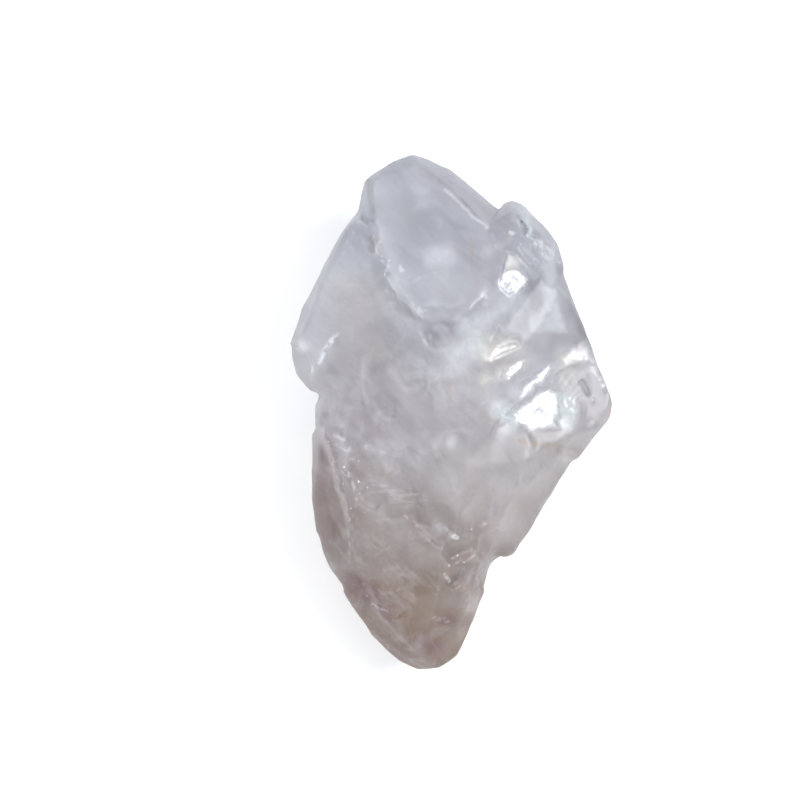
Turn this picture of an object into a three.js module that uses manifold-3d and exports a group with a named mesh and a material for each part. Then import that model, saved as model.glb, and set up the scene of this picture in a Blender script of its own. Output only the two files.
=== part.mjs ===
// A rough piece of quartz, broken off its matrix: a thick plate with a smooth, tilted
// face stands over a left shoulder, a crest and a stepped fracture make up the right
// side, and the body narrows downwards to a blunt tip. It is one solid, lying on a flat
// break in its back.
// Millimetres. +X is across the stone, +Y along it from the blunt tip to the crown, and
// +Z up, out of its front. The origin is under the middle of the stone, on the surface
// that it lies on.
import * as THREE from "three";
import { ConvexGeometry } from "three/addons/geometries/ConvexGeometry.js";
import { mergeVertices } from "three/addons/utils/BufferGeometryUtils.js";
import Module from "manifold-3d";

const wasm = await Module();
wasm.setup();

// Driving sizes of the whole stone
const stoneLength = 48;
const stoneWidth = 30.1;
const stoneHeight = 20.6;

// Nothing reaches this far from the middle, so cuts of this size go right through
const reach = 80;

// How far the foot of a side wall stands in from its top, as a share of its distance
// from the middle of the stone
const wallLean = 0.045;

// The facets of a conchoidal scar are about this long
const scarFacet = 1.8;

// Chips have this many sides, their walls open outwards by this share, and no chip is
// taken from the flat break that the stone lies on, whose normal points this far down
const chipSides = 6;
const chipFlare = 1.35;
const flatBreakNormal = -0.995;

// A flat face as the height over each point of the table: its height at the middle of
// the stone, and how much it rises for each millimetre along X and along Y
const plateFace = { height: 21.9, alongX: 0.03, alongY: -0.22 };
const shoulderFace = { height: 20.5, alongX: 0.56, alongY: 0.03 };
const treadFall = { alongX: -0.33, alongY: -0.12 };
const upperTreadFall = { alongX: -0.22, alongY: 0.02 };

function heightOn(face, x, y) {
  return face.height + face.alongX * x + face.alongY * y;
}

function onFace(face, ...corners) {
  return corners.map(([x, y]) => [x, y, heightOn(face, x, y)]);
}

// The lumps that grew or broke together. Each is a convex block with the corners of its
// front, side walls that run from a low to a high end at each point of its outline, and
// the corners of its back. The core is what the others stand on, and its back is the
// back of the stone.
const lumps = {
  core: {
    front: [
      [-9.0, 15.0, 15.0], [-3.2, 9.4, 18.5], [2.4, 10.2, 18.9], [4.6, 8.4, 17.9],
      [-6.0, 7.0, 16.6], [-11.0, 5.0, 13.2], [-10.6, -4.0, 12.6], [0.0, -2.0, 16.6],
      [8.0, 4.0, 15.4],
    ],
    walls: [
      [-9.2, 17.2, 6.4, 11.6], [-12.2, 6.0, 4.8, 10.6], [-12.2, -8.0, 4.2, 9.2],
      [-9.0, -15.8, 4.6, 8.6], [-3.2, -20.8, 5.2, 7.8], [1.4, -17.2, 5.6, 8.6],
      [6.2, -11.0, 5.2, 9.6], [11.6, -3.4, 5.6, 10.4], [13.2, 1.0, 6.2, 11.4],
      [12.0, 6.5, 6.6, 12.8], [9.2, 13.8, 7.2, 13.2], [3.8, 18.2, 7.4, 13.0],
      [-3.4, 21.4, 7.8, 13.4],
    ],
    back: [
      [-5.8, 8.8, 0], [-7.4, 2.0, 0], [-6.6, -6.2, 0], [-4.0, -10.8, 0], [1.2, -10.0, 0],
      [5.2, -5.6, 0], [7.2, 1.6, 0], [6.2, 8.0, 0], [0.6, 11.0, 0],
      [-10.4, -3.0, 1.9], [10.6, 5.4, 2.6], [-6.6, 14.6, 3.0], [-5.2, -16.6, 2.4],
    ],
  },
  plate: {
    front: [
      ...onFace(plateFace, [-7.2, 21.4], [-3.4, 22.9], [0.2, 20.6], [3.9, 16.2]),
      ...onFace(plateFace, [2.9, 10.4], [-0.5, 7.3], [-4.7, 9.6], [-6.5, 13.0], [-7.1, 16.4]),
    ],
    walls: [
      [-8.6, 18.6, 9.0, 14.0], [-8.2, 20.4, 9.6, 14.8], [-8.0, 21.7, 10.4, 15.4],
      [-5.5, 23.2, 9.2, 15.8], [-3.6, 24.0, 9.8, 15.2], [-1.6, 23.4, 9.4, 14.8],
      [0.2, 22.3, 9.2, 15.0], [4.4, 18.8, 8.4, 14.4],
    ],
    back: [
      [-4.0, 17.0, 5.0], [2.0, 15.0, 5.0], [-4.3, 10.0, 12.0], [-0.5, 8.0, 12.0],
      [2.6, 10.8, 12.0],
    ],
  },
  leftShoulder: {
    front: [
      ...onFace(shoulderFace, [-8.5, 18.0], [-4.7, 14.0], [-2.8, 9.2], [-7.4, 3.6]),
      ...onFace(shoulderFace, [-12.4, 4.0], [-14.0, 6.8], [-11.4, 13.4], [-9.7, 17.0]),
    ],
    walls: [
      [-8.3, 19.0, 9.0, 14.0], [-9.4, 17.7, 8.4, 14.0], [-10.3, 16.6, 7.4, 13.4],
      [-11.9, 13.5, 6.4, 12.6], [-13.6, 10.2, 6.0, 11.4], [-15.0, 6.6, 6.8, 10.6],
      [-15.0, 5.5, 6.6, 10.2], [-14.5, 3.9, 5.8, 10.0], [-13.0, 2.0, 5.2, 10.4],
    ],
    back: [[-8.0, 13.0, 4.6], [-8.6, 5.0, 2.6]],
  },
  crest: {
    front: [
      [5.5, 18.5, 17.0], [5.1, 13.4, 20.0], [5.4, 8.6, 19.0], [3.4, 17.4, 17.4],
      [2.7, 13.4, 18.9], [2.4, 8.4, 19.0], [8.2, 16.4, 15.6], [9.2, 13.6, 15.9],
      [9.4, 11.0, 17.2],
    ],
    walls: [
      [4.8, 19.4, 9.0, 14.6], [5.6, 19.7, 9.4, 14.8], [6.7, 19.3, 9.0, 14.2],
      [8.2, 17.9, 7.8, 13.6], [9.6, 15.9, 7.0, 13.8], [10.8, 14.4, 7.6, 14.0],
      [10.2, 12.8, 7.0, 14.2],
    ],
    back: [[4.0, 13.0, 4.0], [7.0, 10.0, 3.6], [4.6, 8.8, 12.0]],
  },
  rightShoulder: {
    front: [
      [4.4, 9.8, 19.0], [3.0, 5.4, 18.8], [3.8, 2.0, 17.8], [5.0, -0.9, 16.6],
      [9.2, 11.4, 18.0], [11.0, 9.0, 17.2], [12.4, 4.8, 16.2], [13.2, 1.4, 14.8],
      [12.6, -1.4, 13.6], [8.6, -2.6, 15.6],
    ],
    walls: [
      [10.3, 12.9, 7.4, 14.6], [11.4, 10.1, 6.8, 14.4], [12.2, 7.6, 6.2, 13.8],
      [12.9, 4.7, 6.0, 13.4], [14.0, 3.0, 6.8, 12.8], [15.1, 1.0, 7.4, 12.2],
      [14.8, -0.2, 7.0, 11.8], [13.0, -2.2, 6.2, 11.4], [11.7, -4.3, 6.0, 11.0],
    ],
    back: [[7.0, 7.0, 3.0], [7.0, 0.0, 2.6]],
  },
  body: {
    front: [
      [-11.5, -1.4, 13.2], [-9.1, -13.2, 12.0], [-7.8, 3.6, 16.1], [-3.4, 9.8, 18.8],
      [3.9, 10.6, 19.2], [3.8, 2.4, 17.8], [4.6, -0.9, 16.6], [8.2, -2.9, 15.2],
      [0.9, -7.6, 17.2], [-0.2, -11.6, 15.8], [5.6, -10.0, 12.8],
    ],
    walls: [
      [-12.8, 1.0, 4.6, 10.6], [-12.5, -1.9, 4.4, 10.2], [-12.9, -5.2, 4.2, 9.4],
      [-13.0, -8.0, 4.8, 8.8], [-12.6, -11.0, 5.0, 8.6], [11.4, -4.2, 6.2, 11.2],
      [9.5, -6.5, 5.8, 10.8], [8.0, -9.0, 6.4, 10.4], [6.9, -11.9, 6.0, 9.6],
      [6.2, -12.9, 5.9, 9.4], [4.4, -14.1, 5.8, 9.2],
    ],
    back: [[-6.0, -3.0, 1.4], [4.0, -4.0, 1.4]],
  },
  tip: {
    front: [
      [-9.1, -11.6, 12.2], [-0.4, -10.6, 16.0], [3.4, -12.6, 12.8], [-1.6, -18.4, 13.4],
      [-3.0, -22.3, 10.6], [-6.0, -18.6, 11.6], [0.6, -19.6, 10.8],
    ],
    walls: [
      [-12.6, -10.6, 5.2, 8.6], [-11.4, -14.4, 4.8, 8.2], [-9.6, -17.4, 5.0, 8.0],
      [-7.3, -20.8, 5.4, 7.8], [-4.8, -23.2, 6.0, 7.6], [-2.9, -24.0, 6.2, 7.8],
      [-1.1, -23.8, 6.0, 8.0], [0.7, -22.6, 5.4, 8.2], [1.6, -20.6, 5.6, 8.6],
      [2.0, -18.2, 6.2, 9.0], [3.0, -15.6, 6.4, 9.4], [4.0, -14.2, 6.0, 9.2],
    ],
    back: [[-5.0, -14.0, 2.4], [0.0, -13.0, 3.0]],
  },
};

// Steps of the fracture on the right shoulder, from the crest down. Each has a point on
// the foot of its riser, the riser's direction in degrees from +X, how steep the riser
// is, and the face of its tread. All treads but the upper one face the same way.
const steps = [
  { x: 3.4, y: 6.6, turn: 52, steepness: 1.6, tread: { height: 19.1, ...upperTreadFall } },
  { x: 6.8, y: 5.2, turn: 20, steepness: 0.8, tread: { height: 19.7, ...treadFall } },
  { x: 7.2, y: 2.5, turn: 42, steepness: 0.8, tread: { height: 18.2, ...treadFall } },
  { x: 7.4, y: 0.8, turn: 37, steepness: 1.2, tread: { height: 17.4, ...treadFall } },
];

// Flat-floored breaks in the front, each with its outline and the face of its floor
const breaks = {
  crestMirror: {
    floor: { height: 22.35, ...treadFall },
    outline: [[4.9, 14.9], [5.9, 14.6], [6.8, 12.8], [6.2, 11.4], [5.2, 11.0], [4.4, 12.4]],
  },
  upperStreak: {
    floor: { height: 20.2, ...treadFall },
    outline: [[3.3, 5.4], [3.4, 6.3], [4.7, 7.1], [6.1, 7.0], [6.3, 6.4], [4.9, 5.7]],
  },
  ribbedBreak: {
    floor: { height: 17.8, alongX: -0.38, alongY: -0.12 },
    outline: [[9.4, 3.6], [9.6, 2.0], [10.4, 0.2], [12.4, -0.4], [13.4, 1.6], [12.6, 4.4], [11.0, 4.6]],
  },
  plateFootPit: {
    floor: { height: 17.5, alongX: 0.1, alongY: 0.1 },
    outline: [[-2.2, 7.5], [-1.5, 7.8], [-0.9, 7.3], [-1.2, 6.7], [-2.0, 6.8]],
  },
};

// Directions in which a spot on the stone's outside is looked for
const down = [0, 0, -1];
const up = [0, 0, 1];
const rightwards = [1, 0, 0];
const leftwards = [-1, 0, 0];

// Broad conchoidal scars: a point that a line in the given direction goes through before
// it meets the stone, the radius of the dish, and its depth
const scars = [
  { through: [-10.4, -7.0, 0], view: down, radius: 24, depth: 0.5 },
  { through: [8.2, -8.8, 0], view: down, radius: 20, depth: 0.9 },
  { through: [-4.6, -16.0, 0], view: down, radius: 22, depth: 0.45 },
  { through: [-7.2, 4.2, 0], view: down, radius: 20, depth: 0.45 },
  { through: [-0.4, 2.6, 0], view: down, radius: 24, depth: 0.3 },
  { through: [-10.4, 8.6, 0], view: up, radius: 26, depth: 1.3 },
  { through: [10.0, 5.4, 0], view: up, radius: 24, depth: 1.1 },
  { through: [-9.6, -8.6, 0], view: up, radius: 30, depth: 0.9 },
  { through: [6.2, -11.0, 0], view: up, radius: 22, depth: 1.0 },
  { through: [1.6, 17.0, 0], view: up, radius: 30, depth: 1.2 },
  { through: [0, 10.4, 11.0], view: leftwards, radius: 16, depth: 0.5 },
];

// Angular chips, scattered over parts of the outside: the middle and half sizes of the
// part, the direction that it is looked at in, how many chips, and the smallest and
// largest size and depth
const chippedAreas = [
  {
    middle: [-2.0, -8.0, 0], halfSize: [9.0, 9.0, 0], view: down,
    count: 34, size: [1.3, 3.4], depth: [0.12, 0.4],
  },
  {
    middle: [-5.0, 3.0, 0], halfSize: [5.5, 3.4, 0], view: down,
    count: 11, size: [1.3, 2.8], depth: [0.1, 0.28],
  },
  {
    middle: [7.0, -6.0, 0], halfSize: [5.0, 4.5, 0], view: down,
    count: 10, size: [1.4, 3.0], depth: [0.15, 0.4],
  },
  {
    middle: [0, 0, 0], halfSize: [13.0, 21.0, 0], view: up,
    count: 26, size: [1.6, 3.8], depth: [0.12, 0.42],
  },
  {
    middle: [0, -2.0, 7.4], halfSize: [0, 19.0, 3.4], view: rightwards,
    count: 10, size: [1.4, 3.0], depth: [0.12, 0.35],
  },
  {
    middle: [0, -1.0, 9.0], halfSize: [0, 18.0, 4.0], view: leftwards,
    count: 12, size: [1.4, 3.0], depth: [0.12, 0.35],
  },
  {
    middle: [0, 0, 11.6], halfSize: [8.0, 0, 3.0], view: [0, -1, 0],
    count: 7, size: [1.3, 2.6], depth: [0.12, 0.35],
  },
];

// Edges that are broken ragged: the line along which small chips are missing, seen from
// the front, how far apart they are and how far off the line they may be, and their
// smallest and largest size and depth
const raggedEdges = [
  {
    line: [[-7.2, 17.4], [-7.1, 15.4], [-6.5, 12.8], [-5.0, 9.6], [-2.6, 8.0], [0.0, 7.3]],
    spacing: 0.9, stray: 0.3, size: [0.8, 1.4], depth: [0.12, 0.3],
  },
  {
    line: [[-11.7, -1.0], [-10.8, -6.6], [-9.5, -13.0]],
    spacing: 1.6, stray: 0.4, size: [0.8, 1.5], depth: [0.15, 0.4],
  },
  {
    line: [[10.2, -3.0], [13.0, -1.0], [14.4, 1.4]],
    spacing: 1.0, stray: 0.3, size: [0.7, 1.3], depth: [0.15, 0.4],
  },
];

function between([low, high]) {
  return THREE.MathUtils.lerp(low, high, THREE.MathUtils.seededRandom());
}

// A closed three.js geometry as a solid that can be joined and cut
function solidOf(geometry) {
  const bare = geometry.clone();
  bare.deleteAttribute("normal");
  bare.deleteAttribute("uv");
  const merged = mergeVertices(bare, 1e-4);
  return new wasm.Manifold(
    new wasm.Mesh({
      numProp: 3,
      vertProperties: new Float32Array(merged.attributes.position.array),
      triVerts: new Uint32Array(merged.index.array),
    }),
  );
}

function geometryOf(solid) {
  const mesh = solid.getMesh();
  const geometry = new THREE.BufferGeometry();
  geometry.setAttribute("position", new THREE.BufferAttribute(mesh.vertProperties, 3));
  geometry.setIndex(new THREE.BufferAttribute(mesh.triVerts, 1));
  return geometry;
}

// The convex geometry whose corners are listed
function hullOf(corners) {
  return new ConvexGeometry(corners.map((corner) => new THREE.Vector3(...corner)));
}

function lumpOf({ front, walls, back }) {
  const inwards = 1 - wallLean;
  const tops = walls.map(([x, y, low, high]) => [x, y, high]);
  const feet = walls.map(([x, y, low]) => [x * inwards, y * inwards, low]);
  return solidOf(hullOf([...front, ...tops, ...feet, ...back]));
}

// All that is above a face, inside an outline
function above(face, outline) {
  const foot = onFace(face, ...outline);
  return solidOf(hullOf([...foot, ...foot.map(([x, y, z]) => [x, y, z + 2 * reach])]));
}

// What a step takes away: all above its tread and beyond its riser
function stepCut({ x, y, turn, steepness, tread }) {
  const everywhere = [[-reach, -reach], [reach, -reach], [reach, reach], [-reach, reach]];
  const along = THREE.MathUtils.degToRad(turn);
  const riser = {
    alongX: tread.alongX - steepness * Math.sin(along),
    alongY: tread.alongY + steepness * Math.cos(along),
  };
  riser.height = heightOn(tread, x, y) - riser.alongX * x - riser.alongY * y;
  return above(tread, everywhere).intersect(above(riser, everywhere));
}

// Where a line through a point first meets the stone, with the normal there
function spotOn(target, through, view) {
  const direction = new THREE.Vector3(...view);
  const start = new THREE.Vector3(...through).addScaledVector(direction, -reach);
  const [hit] = new THREE.Raycaster(start, direction).intersectObject(target);
  return hit && { point: hit.point, normal: hit.face.normal };
}

function scarCut({ point, normal }, radius, depth) {
  const middle = point.clone().addScaledVector(normal, radius - depth);
  const ball = new THREE.IcosahedronGeometry(radius, Math.round(radius / scarFacet));
  return solidOf(ball.translate(middle.x, middle.y, middle.z));
}

// A chip is a low block whose flat floor runs out of the surface at one side
function chipCut({ point, normal }, size, depth) {
  const deepest = between([0, 2 * Math.PI]);
  const corners = [];
  for (let i = 0; i < chipSides; i += 1) {
    const angle = ((i + between([0, 0.7])) * 2 * Math.PI) / chipSides;
    const share = between([0.6, 1.1]);
    const x = size * share * Math.cos(angle);
    const y = size * share * Math.sin(angle);
    corners.push([x, y, -depth * (1 + share * Math.cos(angle - deepest))]);
    corners.push([chipFlare * x, chipFlare * y, size]);
  }
  const outOf = new THREE.Quaternion().setFromUnitVectors(new THREE.Vector3(0, 0, 1), normal);
  return solidOf(hullOf(corners).applyQuaternion(outOf).translate(point.x, point.y, point.z));
}

function areaChips(target, { middle, halfSize, view, count, size, depth }) {
  const cuts = [];
  for (let i = 0; i < count; i += 1) {
    const through = middle.map((at, axis) => at + halfSize[axis] * between([-1, 1]));
    const spot = spotOn(target, through, view);
    const chipSize = between(size);
    const chipDepth = between(depth);
    if (spot && spot.normal.z > flatBreakNormal) cuts.push(chipCut(spot, chipSize, chipDepth));
  }
  return cuts;
}

function edgeChips(target, { line, spacing, stray, size, depth }) {
  const path = new THREE.CatmullRomCurve3(line.map(([x, y]) => new THREE.Vector3(x, y, 0)));
  const aside = () => between([-stray, stray]);
  return path
    .getSpacedPoints(Math.round(path.getLength() / spacing))
    .map((at) => spotOn(target, [at.x + aside(), at.y + aside(), 0], down))
    .map((spot) => chipCut(spot, between(size), between(depth)));
}

function makeStone() {
  THREE.MathUtils.seededRandom(11);
  let stone = Object.values(lumps)
    .map(lumpOf)
    .reduce((whole, block) => whole.add(block));
  for (const step of steps) stone = stone.subtract(stepCut(step));
  for (const { floor, outline } of Object.values(breaks)) {
    stone = stone.subtract(above(floor, outline));
  }

  const whole = new THREE.Mesh(geometryOf(stone), new THREE.MeshBasicMaterial());
  const cuts = [
    ...scars.map(({ through, view, radius, depth }) =>
      scarCut(spotOn(whole, through, view), radius, depth),
    ),
    ...chippedAreas.flatMap((area) => areaChips(whole, area)),
    ...raggedEdges.flatMap((edge) => edgeChips(whole, edge)),
  ];
  return cuts.reduce((rest, cut) => rest.subtract(cut), stone);
}

// Brings the stone to its driving sizes, its middle over the origin and its base at zero
function toSize(geometry) {
  geometry.computeBoundingBox();
  const { min, max } = geometry.boundingBox;
  geometry.translate(-(min.x + max.x) / 2, -(min.y + max.y) / 2, -min.z);
  geometry.scale(
    stoneWidth / (max.x - min.x),
    stoneLength / (max.y - min.y),
    stoneHeight / (max.z - min.z),
  );
  const flat = geometry.toNonIndexed();
  flat.computeVertexNormals();
  return flat;
}

const quartz = new THREE.MeshStandardMaterial({ color: 0xc4c2cb, roughness: 0.22, metalness: 0 });

const stone = new THREE.Mesh(toSize(geometryOf(makeStone())), quartz);
stone.name = "quartz_stone";

const part = new THREE.Group();
part.add(stone);

export default part;
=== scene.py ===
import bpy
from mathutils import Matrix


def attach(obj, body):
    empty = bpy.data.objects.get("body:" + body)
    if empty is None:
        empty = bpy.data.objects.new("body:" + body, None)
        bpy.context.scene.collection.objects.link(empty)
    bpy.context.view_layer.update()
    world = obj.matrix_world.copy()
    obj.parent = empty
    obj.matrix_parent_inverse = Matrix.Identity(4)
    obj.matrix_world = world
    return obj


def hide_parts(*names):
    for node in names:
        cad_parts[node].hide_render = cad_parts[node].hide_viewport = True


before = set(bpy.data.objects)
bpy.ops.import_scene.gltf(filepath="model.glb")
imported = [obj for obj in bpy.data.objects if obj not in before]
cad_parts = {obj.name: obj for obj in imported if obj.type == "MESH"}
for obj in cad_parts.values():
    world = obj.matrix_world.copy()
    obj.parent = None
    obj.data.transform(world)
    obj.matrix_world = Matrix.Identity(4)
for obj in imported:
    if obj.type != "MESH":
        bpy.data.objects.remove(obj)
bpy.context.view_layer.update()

import math
import bpy
import numpy
from mathutils import Vector, noise

mm = 0.001
noise.seed_set(4)    # otherwise noise_vector starts from the clock, and no two runs are alike
print("frame loaded")


def deselectAll():
    bpy.ops.object.select_all(action="DESELECT")


def makeActive(piece):
    deselectAll()
    piece.select_set(True)
    bpy.context.view_layer.objects.active = piece


def applyModifier(piece, kind, settings):
    makeActive(piece)
    modifier = piece.modifiers.new(kind.lower(), kind)
    for name, value in settings.items():
        setattr(modifier, name, value)
    bpy.ops.object.modifier_apply(modifier=modifier.name)


def linearColour(hexText):
    # an sRGB hex value such as "c4c2cb", turned to linear light
    def channel(value):
        return value / 12.92 if value <= 0.04045 else ((value + 0.055) / 1.055) ** 2.4
    parts = [int(hexText[i:i + 2], 16) / 255 for i in (0, 2, 4)]
    return (*[channel(part) for part in parts], 1.0)


def scaleFor(size):
    # the texture scale whose features are about this many mm
    return 1.0 / (size * mm)


def addNode(tree, kind, settings=None, links=None):
    # settings name a property of the node or one of its sockets, and links only its sockets
    node = tree.nodes.new(kind)
    for name, value in (settings or {}).items():
        if isinstance(name, str) and hasattr(node, name):
            setattr(node, name, value)
        else:
            node.inputs[name].default_value = value
    for name, source in (links or {}).items():
        tree.links.new(source, node.inputs[name])
    return node


def newMaterial(name):
    material = bpy.data.materials.new(name)
    material.use_nodes = True
    material.node_tree.nodes.clear()
    return material, material.node_tree


# The camera looks straight down at the front of the stone
cameraSettings = {
    "frameWidth": 74.56,      # mm of the stone's middle height that the picture spans
    "aimX": -4.75,            # mm, the middle of the picture
    "aimY": 1.35,
    "aimZ": 10.0,
    "lens": 180.0,
    "sensor": 36.0,
}


def makeCamera(s):
    distance = s["frameWidth"] * s["lens"] / s["sensor"]
    place = (s["aimX"] * mm, s["aimY"] * mm, (s["aimZ"] + distance) * mm)
    bpy.ops.object.camera_add(location=place, rotation=(0, 0, 0))
    camera = bpy.context.object
    camera.data.lens = s["lens"]
    camera.data.sensor_width = s["sensor"]
    camera.data.clip_start = 0.01
    camera.data.clip_end = 5.0
    bpy.context.scene.camera = camera


# Soft studio light: each light's direction from the stone, distance, size and power
lightSettings = {
    "key": {"towards": (0.49, 0.18, 0.85), "distance": 0.42, "size": 0.15, "power": 1.2},
    "fill": {"towards": (-0.55, 0.5, 0.75), "distance": 0.55, "size": 0.5, "power": 1.5},
    "low": {"towards": (-0.2, -0.8, 0.45), "distance": 0.55, "size": 0.4, "power": 0.8},
}
roomSettings = {"sky": "e9ecf2", "skyStrength": 0.84, "floor": "fdfdfc", "floorSize": 1.6}


def makeRoom(lights, s):
    for name, light in lights.items():
        data = bpy.data.lights.new(name, "AREA")
        data.size = light["size"]
        data.energy = light["power"]
        lamp = bpy.data.objects.new(name, data)
        bpy.context.collection.objects.link(lamp)
        length = math.sqrt(sum(part * part for part in light["towards"]))
        lamp.location = [part / length * light["distance"] for part in light["towards"]]
        lamp.rotation_euler = lamp.location.to_track_quat("Z", "Y").to_euler()
    world = bpy.data.worlds.new("studio")
    world.use_nodes = True
    world.node_tree.nodes["Background"].inputs["Color"].default_value = linearColour(s["sky"])
    world.node_tree.nodes["Background"].inputs["Strength"].default_value = s["skyStrength"]
    bpy.context.scene.world = world

    deselectAll()
    bpy.ops.mesh.primitive_plane_add(size=s["floorSize"], location=(0, 0, -0.05 * mm))
    floor = bpy.context.object
    floor.name = "studio_floor"
    material, tree = newMaterial("matte white card")
    shader = addNode(tree, "ShaderNodeBsdfPrincipled", {
        "Base Color": linearColour(s["floor"]), "Roughness": 0.9, "Specular IOR Level": 0.2,
    })
    addNode(tree, "ShaderNodeOutputMaterial", links={"Surface": shader.outputs[0]})
    floor.data.materials.append(material)
    bpy.context.scene.view_settings.view_transform = "Standard"


# The stone. All places and lengths are in mm, seen from the front. A stroke is a line
# with soft sides: x and y of both ends, its width, and how strong it is. A glow is the
# same, but fades out without an edge. A spot is a middle and a radius. An outline is a
# list of corners.
stoneSettings = {
    "voxel": 0.15,
    "edgeSmoothing": 3,
    "bodySmoothing": 22,
    "hollowSmoothing": 70,
    "triangles": 192000,      # all told: the front keeps its faces, and the rest is thinned
    "creaseAngle": 50,
    "lying": 0.3,             # the break that the stone lies on stays flat up to this height
    "frontFlakes": 0.28,      # the flakes of the front and the sides, as shares of the back's
    "sideFlakes": 0.3,
    "ledge": 0.035,           # height of the thin ledges of the broken front
    "ledgeWave": 5.0,         # and the size of the curves that they follow
    "facetBlend": 0.6,        # how softly a clean break runs into what is round it
    "smokeAndShadeDepth": 0.68,       # how much of the smoky colour and of the painted shade shows
}

# Faces that grew smooth or broke clean, which stay free of flakes
smoothPlaces = [
    (-2.4, 17.2, 5.4), (-0.8, 12.0, 3.6), (-10.4, 11.0, 4.6), (-12.6, 6.4, 3.4),
    (3.8, 15.4, 2.6), (8.6, 4.4, 5.4), (9.6, 9.4, 4.2), (11.0, 1.2, 3.6), (5.6, 12.6, 2.6),
    (1.4, -5.6, 4.2), (5.2, -9.6, 3.2), (-11.9, -3.6, 1.5), (-11.9, -6.8, 1.9), (-11.4, -10.2, 1.6),
    (-1.4, -20.0, 3.0), (7.6, -1.6, 3.0), (-0.6, -2.2, 2.6), (3.4, -2.4, 2.4), (-2.2, -0.8, 2.2),
]

# Steps and edges that stay sharp, and hollows whose walls run out softly
sharpPlaces = [
    (7.6, 2.4, 4.4), (10.4, 6.0, 3.4), (5.6, 12.8, 2.4), (6.4, 17.6, 1.4),
    (-2.4, 17.2, 6.4), (-5.2, 11.6, 2.2), (-7.0, 15.6, 1.6),
]
hollows = [
    (3.4, 2.2, 2.4), (2.4, 7.4, 2.2), (-1.6, 7.2, 2.2), (3.4, 9.6, 1.6), (5.0, -1.8, 1.6),
    (-6.5, 13.2, 1.9), (-5.2, 11.2, 2.0), (-3.2, 9.2, 2.0), (2.2, 10.8, 1.4), (-13.6, 4.9, 3.0),
    (2.8, -3.9, 2.2), (5.4, -3.6, 2.0), (11.2, 3.7, 1.8), (0.1, -2.6, 2.0), (-1.6, -0.6, 2.0),
    (1.3, -6.2, 2.4), (11.0, 0.8, 1.2), (12.8, -0.8, 1.6),
]

# Sides that are rounded off from the front to the back
roundSides = [(5.0, -13.4, 2.3), (-12.7, 1.9, 1.6)]

# Flakes of the back: size and height
flakes = [(3.4, 0.55), (1.6, 0.24), (0.8, 0.06)]

# Lines that stand proud (or, below zero, are cut in): x, y, x, y, width, height
creases = [
    (-0.5, 20.8, 3.4, 17.4, 0.35, 0.02), (3.2, 17.9, 5.2, 13.2, 0.5, -0.05),
    (-12.0, -1.4, -9.6, -9.8, 0.5, 0.2), (-9.6, -9.8, -9.4, -13.6, 0.5, 0.1),
    (6.5, 17.9, 6.8, 17.0, 0.3, -0.28),
    (-10.6, 7.6, -12.9, 4.1, 0.4, -0.14), (12.1, 3.1, 13.3, 1.0, 0.4, -0.2),
    (-9.2, 17.9, -10.8, 14.2, 0.4, 0.05), (-8.0, 4.1, -7.8, -0.5, 0.5, -0.06),
    (-4.1, 12.4, -1.5, 13.3, 0.3, 0.05), (-5.8, 13.7, -4.1, 10.9, 0.35, 0.05),
    (-4.6, 11.2, -3.2, 9.4, 0.4, 0.05), (-1.8, -2.8, 0.4, -7.5, 0.5, 0.05),
]

# Parallel growth lines and ripples: middle, radius, direction in degrees, spacing, height
ripples = [
    (11.0, 3.0, 1.9, 50, 0.55, 0.02), (-6.2, -7.4, 2.6, 0, 0.5, 0.01),
    (-7.2, 11.7, 2.4, 2, 0.6, 0.006), (-2.0, 17.0, 4.0, -40, 0.9, 0.003),
    (9.4, 10.4, 2.6, 80, 0.8, 0.008),
]

# Clean breaks in the fracture: outline, how much they rise along x and y, and how
# mirror-like they are. Those with the fall of the light send it to the front. How
# mirror-like they are also sets how milky white they are painted: a painted highlight.
lightFall = (-0.25, -0.09)
facets = {
    "crestTear": ([
        (5.2, 13.5), (6.3, 13.7), (7.1, 12.6), (7.0, 11.8), (6.2, 11.4), (5.3, 11.0), (4.7, 11.4),
        (4.2, 12.2), (4.6, 12.9),
    ], lightFall, 0.7),
    "upperStreak": ([
        (3.4, 5.3), (3.6, 6.0), (4.4, 6.3), (4.8, 6.8), (5.8, 6.8), (6.4, 6.3), (6.0, 5.9), (4.9, 5.8),
        (4.4, 5.3), (3.8, 5.0),
    ], lightFall, 0.55),
    "middleStreak": ([
        (4.9, 3.5), (5.1, 4.1), (5.9, 4.5), (6.5, 5.0), (6.9, 4.9), (6.6, 4.3), (5.8, 3.7), (5.5, 3.3),
    ], lightFall, 0.9),
    "longStreak": ([
        (6.2, 1.5), (6.4, 2.3), (6.8, 2.9), (7.6, 3.4), (8.1, 3.9), (9.1, 4.6), (9.6, 4.3), (8.9, 3.4),
        (8.6, 2.8), (7.9, 2.4), (7.2, 1.9), (6.7, 1.2),
    ], lightFall, 0.95),
    "streakFoot": ([
        (4.3, -0.4), (4.8, 0.3), (5.2, 1.0), (5.8, 1.2), (5.8, 0.4), (5.2, -0.5), (4.6, -0.9),
    ], lightFall, 0.6),
    "bigPatch": ([
        (5.2, -0.1), (6.4, 0.9), (7.4, 1.5), (8.2, 2.2), (9.2, 2.4), (10.0, 2.0), (10.0, 1.1),
        (10.2, 0.2), (9.8, -0.6), (10.0, -1.3), (8.6, -1.4), (7.1, -1.5), (6.6, -1.0), (6.0, -0.7),
    ], lightFall, 1.0),
    "cornerBlock": ([
        (10.0, 5.4), (11.3, 6.1), (11.9, 6.6), (12.6, 6.2), (13.1, 4.9), (12.5, 4.7), (11.6, 5.1),
        (10.9, 4.7), (10.3, 4.6),
    ], lightFall, 0.55),
    "lilacCorner": ([
        (12.8, 3.6), (13.8, 3.2), (14.7, 1.4), (14.7, 0.6), (13.8, -0.4), (12.4, -0.4), (12.4, 1.2),
        (12.9, 2.2),
    ], (-0.3, 0.0), 0.0),
}

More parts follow.
